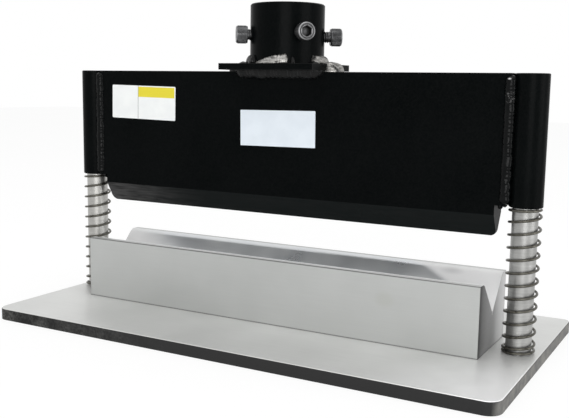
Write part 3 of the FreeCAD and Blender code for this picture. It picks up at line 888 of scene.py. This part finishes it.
# %% [markdown]
# At the foot of each pair the last metal ran down and froze in drops under the notch.

# %% Drops under the notches
DROP_LEVEL = 0.3 * MM
DROP_INNER, DROP_OUTER = 5.2 * MM, 2.0 * MM  # from the beam's end
DROP_INSET = 2.8 * MM
for side, sign in (("left", -1), ("right", 1)):
    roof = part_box(f"sleeve_weld_{side}_front")[0].z
    inner = sign * (beam[3] - DROP_INNER)
    outer = sign * (beam[3] - DROP_OUTER)
    for face, toward in (("front", -1), ("back", 1)):
        y = toward * (beam[4] - DROP_INSET)
        ends = [(inner, y, roof - DROP_LEVEL), (outer, y, roof - DROP_LEVEL * 2)]
        drop = run_bead(f"weld_drop_{side}_{face}", ends, SLEEVE_BEAD, seed, Width=2.2,
                        Height=2.0, Puddle=1.9, Ripple=0.4, Lumps=0.6, Lump_Size=3,
                        End_Taper=1.0)
        hand_over(drop, "upper_tool", "painted_weld")
        seed += 1.0

# %% [markdown]
# Under the small plate the beads run along the front and back of the beam, and two short ones
# close the plate's ends on top of the beam.

# %% Beads of the small plate
x0, y0, z0, x1, y1, z1 = corners("plate_weld_front")
for face, toward in (("front", -1), ("back", 1)):
    y = toward * beam[4]
    ends = [(x0 + 1.5 * MM, y, z1), (x1 - 1.5 * MM, y, z1)]
    lay_bead(f"plate_weld_{face}", ends, PAINTED_BEAD, "painted_weld", seed, Width=5.2,
             Height=6.0, Puddle=3.2, Ripple=0.4, Lumps=0.9, Lump_Size=10, End_Taper=6)
    seed += 1.0
for side, material, slot, heap in (("left", PAINTED_BEAD, "painted_weld", 1.0),
                                   ("right", BARE_BEAD, "bare_weld", 1.3)):
    x0, y0, z0, x1, y1, z1 = corners("plate_weld_" + side)
    x = x1 if side == "left" else x0
    ends = [(x, y0 + 0.5 * MM, z0), (x, y1 - 0.5 * MM, z0)]
    lay_bead("plate_weld_" + side, ends, material, slot, seed, Width=5.2 * heap,
             Height=4.8 * heap, Puddle=2.0, Ripple=0.35, Lumps=0.7, Lump_Size=7, End_Taper=2)
    seed += 1.0

# %% [markdown]
# Round the collar's foot there are four runs with gaps between them, so each one follows its own
# arc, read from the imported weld.

# %% Beads round the collar
ARC_STEPS = 24
FRONT_DIP = 4.5 * MM
FRONT_CREST = 0.9 * MM
FRONT_SHIFT = math.radians(3)


def collar_arc(first, last, dip=0.0, crest=0.0):
    """Points round the collar's foot, sunk at the first angle and raised at the last."""
    points = []
    for step in range(ARC_STEPS + 1):
        share = step / ARC_STEPS
        angle = first + (last - first) * share
        outward = Vector((math.cos(angle), math.sin(angle), 0))
        lift = Vector((0, 0, crest * share - dip * (1 - share) ** 2))
        points.append(collar_centre + outward * COLLAR_RADIUS + lift)
    return points


for side, material, slot, width in (
    ("front", BARE_BEAD, "bare_weld", 2.8),
    ("right", BARE_BEAD, "bare_weld", 3.4),
    ("left", PAINTED_BEAD, "painted_weld", 2.8),
    ("back", PAINTED_BEAD, "painted_weld", 2.8),
):
    first, last = arc_round("collar_weld_" + side, collar_centre)
    points = collar_arc(first, last)
    if side == "front":
        points = collar_arc(first + FRONT_SHIFT, last + FRONT_SHIFT, FRONT_DIP, FRONT_CREST)
    lay_bead("collar_weld_" + side, points, material, slot, seed, lowest=collar_centre.z,
             Width=width, Height=5.2, Puddle=2.0, Ripple=0.35, Lumps=0.5, Lump_Size=6,
             End_Taper=1.2)
    seed += 1.0

# %% [markdown]
# Just past the front run the welder struck one more blob, which was sprayed over.

# %% Blob beside the front run
_, front_end = arc_round("collar_weld_front", collar_centre)
BLOB_START = front_end + math.radians(5)
BLOB_END = front_end + math.radians(13)
blob = run_bead("collar_blob", collar_arc(BLOB_START, BLOB_END), PAINTED_BEAD, seed,
                lowest=collar_centre.z, Width=2.4, Height=4.6, Puddle=2.0, Ripple=0.3,
                Lumps=0.5, Lump_Size=4, End_Taper=1.5)
hand_over(blob, "upper_tool", "painted_weld")

# %% [markdown]
# ## The clamp screws
#
# A socket head cap screw has a knurled head with a six-sided socket and a threaded shank. The
# plain shape is a stack of rings, each joined to the next, with the socket's rings pulled from
# a circle into a hexagon. A tree then adds what repeats: the ridges of the knurl, set round the
# head as instances, and the thread, which is a coil again.

# %% Plain screw from rings
RING_SIDES = 48
HEAD_RADIUS = 5.95 * MM
HEAD_HEIGHT = 7.9 * MM
HEAD_BREAK = 0.7 * MM
SHANK_RADIUS = 3.95 * MM
THREAD_DEPTH = 0.55 * MM
THREAD_PITCH = 1.41 * MM
SOCKET_HALF = 6.35 / 2 * MM
SOCKET_DEPTH = 4.0 * MM
KNURL_DEPTH = 0.14 * MM
TIP_LENGTH = 0.8 * MM


def circle_ring(radius, x):
    """A ring of points round the X axis."""
    steps = [math.tau * k / RING_SIDES for k in range(RING_SIDES)]
    return [Vector((x, radius * math.cos(a), radius * math.sin(a))) for a in steps]


def hexagon_ring(half, x):
    """The same number of points, pulled onto a hexagon with this distance to its flats."""
    ring = []
    for k in range(RING_SIDES):
        angle = math.tau * k / RING_SIDES
        from_flat = (angle + math.pi / 6) % (math.pi / 3) - math.pi / 6
        radius = half / math.cos(from_flat)
        ring.append(Vector((x, radius * math.cos(angle), radius * math.sin(angle))))
    return ring


def loft(name, rings):
    """A closed mesh through rings of equal count, with a fan at each end.

    Each ring comes with a number: above zero its edge gets a painted highlight, below zero it is
    darker, most in the socket.
    """
    shape = bmesh.new()
    rim_tone_layer = shape.verts.layers.float.new("rim")
    rows = [[shape.verts.new(p) for p in ring] for ring, _ in rings]
    for row, (_, rim) in zip(rows, rings):
        for vert in row:
            vert[rim_tone_layer] = rim
    for lower, upper in zip(rows, rows[1:]):
        for k in range(RING_SIDES):
            after = (k + 1) % RING_SIDES
            shape.faces.new((lower[k], lower[after], upper[after], upper[k]))
    for row in (rows[0], rows[-1]):
        middle = shape.verts.new(sum((v.co for v in row), Vector()) / RING_SIDES)
        for k in range(RING_SIDES):
            shape.faces.new((row[k], row[(k + 1) % RING_SIDES], middle))
    bmesh.ops.recalc_face_normals(shape, faces=shape.faces)
    mesh = bpy.data.meshes.new(name)
    shape.to_mesh(mesh)
    shape.free()
    return mesh


def screw_rings(tip, seat):
    """The outline of a cap screw along the X axis, from its tip to the floor of its socket."""
    root = SHANK_RADIUS - THREAD_DEPTH
    body = HEAD_RADIUS - KNURL_DEPTH
    crown = seat + HEAD_HEIGHT
    mouth = SOCKET_HALF / math.cos(math.pi / 6) + 0.25 * MM
    rounded = crown - HEAD_BREAK * 0.35
    return [
        (circle_ring(root * 0.55, tip), 0),
        (circle_ring(root, tip + TIP_LENGTH), 0),
        (circle_ring(root, seat), 0),
        (circle_ring(body - 0.3 * MM, seat), 0),
        (circle_ring(body, seat + 0.3 * MM), 0),
        (circle_ring(body, crown - HEAD_BREAK), 0.1),
        (circle_ring(body - HEAD_BREAK * 0.35, rounded), 0.9),
        (circle_ring(body - HEAD_BREAK, crown), 0.3),
        (circle_ring(body - HEAD_BREAK * 1.5, crown), -0.5),
        (circle_ring(mouth + 0.25 * MM, crown), -0.5),
        (circle_ring(mouth, crown), 0.45),
        (hexagon_ring(SOCKET_HALF, crown - 0.3 * MM), 0),
        (hexagon_ring(SOCKET_HALF, crown - 0.8 * MM), -0.7),
        (hexagon_ring(SOCKET_HALF, crown - SOCKET_DEPTH), -1),
    ]


# %% Tree that adds the knurl and the thread
def make_screw_dress():
    tree, given, result = new_group(
        "knurl_and_thread",
        "GeometryNodeTree",
        {
            "Geometry": (GEOMETRY, None),
            "Ridges": (INTEGER, 44),
            "Head Radius": (FLOAT, 0.006),
            "Knurl Start": (FLOAT, 0.0),
            "Knurl Length": (FLOAT, 0.005),
            "Ridge Width": (FLOAT, 0.0005),
            "Thread Start": (FLOAT, 0.0),
            "Thread Length": (FLOAT, 0.008),
            "Thread Radius": (FLOAT, 0.0036),
            "Thread Pitch": (FLOAT, 0.00141),
            "Material": (MATERIAL, None),
        },
        {"Geometry": GEOMETRY},
    )
    ridge_size = {0: given["Knurl Length"], 1: given["Ridge Width"], 2: given["Ridge Width"]}
    size = add(tree, "ShaderNodeCombineXYZ", ridge_size)
    ridge = add(tree, "GeometryNodeMeshCube", {"Size": size.outputs[0]})
    circle = add(tree, "GeometryNodeMeshCircle",
                 {"Vertices": given["Ridges"], "Radius": given["Head Radius"]})
    order = add(tree, "GeometryNodeInputIndex").outputs[0]
    angle = calc(tree, "DIVIDE", calc(tree, "MULTIPLY", order, math.tau), given["Ridges"])
    roll = calc(tree, "ADD", angle, math.pi / 4)
    turn = add(tree, "ShaderNodeCombineXYZ", {0: roll})
    middle = calc(tree, "MULTIPLY_ADD", given["Knurl Length"], 0.5, given["Knurl Start"])
    around_y = calc(tree, "MULTIPLY", calc(tree, "COSINE", angle), given["Head Radius"])
    around_z = calc(tree, "MULTIPLY", calc(tree, "SINE", angle), given["Head Radius"])
    spot = add(tree, "ShaderNodeCombineXYZ", {0: middle, 1: around_y, 2: around_z})
    ring = add(tree, "GeometryNodeSetPosition",
               {"Geometry": circle.outputs[0], "Position": spot.outputs[0]})
    ridges = add(tree, "GeometryNodeInstanceOnPoints",
                 {"Points": ring.outputs[0], "Instance": ridge.outputs[0],
                  "Rotation": turn.outputs[0]})
    turns = calc(tree, "DIVIDE", given["Thread Length"], given["Thread Pitch"])
    coil = add(tree, "GeometryNodeGroup", node_tree=COIL)
    for label, value in {
        "Radius": given["Thread Radius"],
        "Wire Radius": calc(tree, "MULTIPLY", given["Thread Pitch"], 0.36),
        "Turns": turns,
        "Closed Pitch": given["Thread Pitch"],
        "Open Pitch": given["Thread Pitch"],
        "Steps Per Turn": 32,
        "Sides": 4,
    }.items():
        plug(tree, coil.inputs[label], value)
    lie = add(tree, "GeometryNodeTransform",
              {"Geometry": coil.outputs[0], "Rotation": (0, math.pi / 2, 0)})
    start = add(tree, "ShaderNodeCombineXYZ", {0: given["Thread Start"]})
    thread = add(tree, "GeometryNodeTransform",
                 {"Geometry": lie.outputs[0], "Translation": start.outputs[0]})
    joined = add(tree, "GeometryNodeJoinGeometry")
    for piece in (given["Geometry"], ridges.outputs[0], thread.outputs[0]):
        tree.links.new(piece, joined.inputs[0])
    real = add(tree, "GeometryNodeRealizeInstances", {"Geometry": joined.outputs[0]})
    final = add(tree, "GeometryNodeSetMaterial",
                {"Geometry": real.outputs[0], "Material": given["Material"]})
    plug(tree, result["Geometry"], final.outputs[0])
    return tree


SCREW_DRESS = make_screw_dress()


# %% Put a screw in each hole of the collar
def smooth_by_angle(mesh, limit=math.radians(35)):
    """Rounds the shading of gentle edges and keeps sharp ones crisp."""
    mesh.shade_smooth()
    mesh.set_sharp_from_angle(angle=limit)


for joint in frame["joints"][1:]:
    number = joint["name"].split("_")[2]
    node = "clamp_screw_" + number
    outward = -Vector(joint["axis"]).normalized()
    low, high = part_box(node)
    level = Vector((collar_centre.x, collar_centre.y, (low.z + high.z) / 2))
    tip, crown = reach(node, level, outward)
    seat = crown - HEAD_HEIGHT
    screw = grow(
        "cap_screw_" + number,
        loft("plain_screw", screw_rings(tip, seat)),
        SCREW_DRESS,
        Ridges=44,
        Head_Radius=HEAD_RADIUS - KNURL_DEPTH,
        Knurl_Start=seat + 1.0 * MM,
        Knurl_Length=HEAD_HEIGHT - HEAD_BREAK - 1.4 * MM,
        Ridge_Width=0.34 * MM,
        Thread_Start=tip + TIP_LENGTH,
        Thread_Length=seat - tip - 1.2 * MM,
        Thread_Radius=SHANK_RADIUS - THREAD_DEPTH + 0.02 * MM,
        Thread_Pitch=THREAD_PITCH,
        Material=OXIDE,
    )
    heading = math.atan2(outward.y, outward.x)
    screw.data.transform(Matrix.Translation(level) @ Matrix.Rotation(heading, 4, "Z"))
    smooth_by_angle(screw.data)
    hand_over(screw, node, "black_oxide", node)

# %% [markdown]
# ## The labels
#
# Two vinyl labels sit on the beam's face. Both are left blank: one plain white, one white with
# a band of yellow. A sticker has small round corners and is thin, so each is a rounded outline
# with a little thickness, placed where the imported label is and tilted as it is.

# %% Label finishes
finish = Finish("white_vinyl", Metallic=0.0, Roughness=0.35, Specular_IOR_Level=0.4)
haze = finish.mask(PATCHES, Size=0.012, Detail=4.0)
WHITE_VINYL = finish.set(Base_Color=finish.blend(haze, (0.70, 0.76, 0.82), (0.75, 0.81, 0.87)))

finish = Finish("banded_vinyl", Metallic=0.0, Roughness=0.35, Specular_IOR_Level=0.4)
map_point = add(finish.tree, "ShaderNodeUVMap", uv_map="sheet").outputs[0]
map_axes = add(finish.tree, "ShaderNodeSeparateXYZ", {0: map_point}).outputs
BAND_LEFT, BAND_LOW, BAND_TOP, RULE = 0.42, 0.66, 0.97, 0.006
haze = finish.mask(PATCHES, Size=0.012, Detail=4.0)
white = finish.blend(haze, (0.80, 0.82, 0.82), (0.86, 0.88, 0.87))
right_of = finish.ramp(map_axes[0], BAND_LEFT, BAND_LEFT + 0.002)
inside = finish.ramp(map_axes[0], 0.986, 0.984)
above = finish.ramp(map_axes[1], BAND_LOW, BAND_LOW + 0.005)
below = finish.ramp(map_axes[1], BAND_TOP, BAND_TOP - 0.005)
band = finish.times(finish.times(right_of, inside), finish.times(above, below))
colour = finish.blend(band, white, (0.72, 0.62, 0.03))
rule = calc(finish.tree, "COMPARE", map_axes[0], BAND_LEFT - RULE / 2, RULE / 2)
colour = finish.blend(rule, colour, (0.10, 0.10, 0.10))
BANDED_VINYL = finish.set(Base_Color=colour)

# %% Cut the labels
CORNER_STEPS = 6


def rounded_outline(width, height, radius):
    """The corners of a sheet, each replaced by a small arc."""
    points = []
    for quarter, (sx, sy) in enumerate(((1, 1), (-1, 1), (-1, -1), (1, -1))):
        for step in range(CORNER_STEPS + 1):
            angle = math.pi / 2 * (quarter + step / CORNER_STEPS)
            x = sx * (width / 2 - radius) + radius * math.cos(angle)
            y = sy * (height / 2 - radius) + radius * math.sin(angle)
            points.append((x, y))
    return points


def cut_label(node, material, slot, corner_radius):
    """A thin rounded sheet in the place of a packed label."""
    places = [v.co for v in nodes[node].data.vertices]
    front = min(p.y for p in places)
    back = max(p.y for p in places)
    middle = sum(places, Vector()) / len(places)
    by_x = sorted(places, key=lambda p: p.x + p.z)
    low_left, high_right = by_x[0], by_x[-1]
    by_fall = sorted(places, key=lambda p: p.x - p.z)
    high_left, low_right = by_fall[0], by_fall[-1]
    bottom = low_right - low_left
    width = Vector((bottom.x, bottom.z)).length
    side = high_left - low_left
    height = Vector((side.x, side.z)).length
    tilt = math.atan2(bottom.z, bottom.x)
    shape = bmesh.new()
    sheet = shape.loops.layers.uv.new("sheet")
    outline = rounded_outline(width, height, corner_radius)
    face = shape.faces.new([shape.verts.new((x, 0, y)) for x, y in outline])
    bmesh.ops.recalc_face_normals(shape, faces=[face])
    if face.normal.y > 0:
        face.normal_flip()
    made = bmesh.ops.extrude_face_region(shape, geom=[face])
    for part in made["geom"]:
        if isinstance(part, bmesh.types.BMVert):
            part.co.y += back - front
    bmesh.ops.recalc_face_normals(shape, faces=shape.faces)
    for each in shape.faces:
        for loop in each.loops:
            loop[sheet].uv = (loop.vert.co.x / width + 0.5, loop.vert.co.z / height + 0.5)
    turn = Matrix.Rotation(-tilt, 4, "Y")
    shift = Matrix.Translation((middle.x, front, middle.z))
    shape.transform(shift @ turn)
    mesh = bpy.data.meshes.new("sheet_" + node)
    shape.to_mesh(mesh)
    shape.free()
    mesh.materials.append(material)
    piece = bpy.data.objects.new("sheet_" + node, mesh)
    bpy.context.collection.objects.link(piece)
    hand_over(piece, "upper_tool", slot, node)
    print(piece.name, round(width / MM, 1), "by", round(height / MM, 1), "mm")
    return piece


cut_label("label_centre", WHITE_VINYL, "label_white", 0.4 * MM)
cut_label("label_left", BANDED_VINYL, "label_white_yellow", 0.8 * MM)

# %% [markdown]
# ## The studio
#
# A pale floor and an even pale surround light the tool softly from everywhere, and three large
# soft lamps give the round parts their highlights. What the camera sees directly is plain
# white, and mirrors see it too, while the light that falls on the tool stays at a plain level.

# %% Surround
LIGHT_LEVEL = 0.72


def seen_plainly(tree):
    """One where the camera, or a mirror or clear thing before it, looks straight at this."""
    rays = add(tree, "ShaderNodeLightPath").outputs
    through = calc(tree, "MAXIMUM", rays["Is Glossy Ray"], rays["Is Transmission Ray"])
    return calc(tree, "MAXIMUM", rays["Is Camera Ray"], through)


world = bpy.data.worlds.new("studio")
world.use_nodes = True
bpy.context.scene.world = world
sky = world.node_tree
background = sky.nodes["Background"]
background.inputs["Color"].default_value = (1, 1, 1, 1)
strength = ramp(sky, seen_plainly(sky), 0.0, 1.0, LIGHT_LEVEL, 1.0)
plug(sky, background.inputs["Strength"], strength)
print("surround lights at", LIGHT_LEVEL)


# %% Floor
FLOOR_HALF = 4.0
FLOOR_DROP = 0.05 * MM
SHADOW_SHARE = 0.22
FLOOR_GLOW = 1.04
mesh = bpy.data.meshes.new("floor")
square = [(-1, -1), (1, -1), (1, 1), (-1, 1)]
floor_corners = [(x * FLOOR_HALF, y * FLOOR_HALF, -FLOOR_DROP) for x, y in square]
mesh.from_pydata(floor_corners, [], [(0, 1, 2, 3)])
floor = bpy.data.objects.new("floor", mesh)
bpy.context.collection.objects.link(floor)
finish = Finish("pale_floor", Metallic=0.0, Roughness=0.8, Specular_IOR_Level=0.1)
finish.set(Base_Color=finish.blend(finish.mask(PATCHES, Size=0.4), 0.95, 0.97))
glow = add(finish.tree, "ShaderNodeEmission", {"Color": (1, 1, 1, 1), "Strength": FLOOR_GLOW})
mixed = add(finish.tree, "ShaderNodeMixShader", {
    0: finish.times(seen_plainly(finish.tree), 1.0 - SHADOW_SHARE),
    1: finish.shader.outputs[0],
    2: glow.outputs[0],
})
output = finish.tree.nodes["Material Output"]
plug(finish.tree, output.inputs["Surface"], mixed.outputs[0])
mesh.materials.append(finish.material)
print("floor", FLOOR_HALF * 2, "m square")


# %% Lamps
def soft_lamp(name, place, aim, width, height, watts):
    """A large soft lamp pointed at a place."""
    data = bpy.data.lights.new(name, "AREA")
    data.shape = "RECTANGLE"
    data.size = width
    data.size_y = height
    data.energy = watts
    lamp = bpy.data.objects.new(name, data)
    lamp.location = place
    lamp.rotation_euler = (Vector(aim) - Vector(place)).to_track_quat("-Z", "Y").to_euler()
    bpy.context.collection.objects.link(lamp)
    return lamp


tool_middle = (0, 0, 0.1)
soft_lamp("key_lamp", (0.72, -1.77, 0.30), tool_middle, 1.0, 0.8, 12.0)
soft_lamp("top_lamp", (0.2, -0.3, 1.9), tool_middle, 1.0, 1.0, 7.0)
soft_lamp("side_lamp", (1.5, -0.1, 0.25), tool_middle, 0.8, 0.6, 5.0)

# %% [markdown]
# ## The camera
#
# The camera stands a little above the beam's middle and to the right, so that the front, the
# right end and the V all show. It is built from an azimuth, an elevation and a small roll.

# %% Camera
CAMERA_AZIMUTH = math.radians(28.915)
CAMERA_ELEVATION = math.radians(8.25)
CAMERA_ROLL = math.radians(0.829)
CAMERA_DISTANCE = 0.60351
CAMERA_AIM = Vector((0.00165, 0, 0.08421))
LENS = 54.129
SENSOR = 36.0

level_part = math.cos(CAMERA_ELEVATION)
back = Vector((math.sin(CAMERA_AZIMUTH) * level_part, -math.cos(CAMERA_AZIMUTH) * level_part,
               math.sin(CAMERA_ELEVATION)))
right = Vector((math.cos(CAMERA_AZIMUTH), math.sin(CAMERA_AZIMUTH), 0))
up = back.cross(right)
rolled_right = right * math.cos(CAMERA_ROLL) + up * math.sin(CAMERA_ROLL)
rolled_up = back.cross(rolled_right)
turn = Matrix((rolled_right, rolled_up, back)).transposed().to_4x4()
data = bpy.data.cameras.new("camera")
data.sensor_width = SENSOR
data.sensor_fit = "HORIZONTAL"
data.lens = LENS
camera = bpy.data.objects.new("camera", data)
camera.matrix_world = Matrix.Translation(CAMERA_AIM + back * CAMERA_DISTANCE) @ turn
bpy.context.collection.objects.link(camera)
bpy.context.scene.camera = camera
bpy.context.scene.view_settings.view_transform = "Standard"
print("camera at", [round(v, 4) for v in camera.matrix_world.translation])
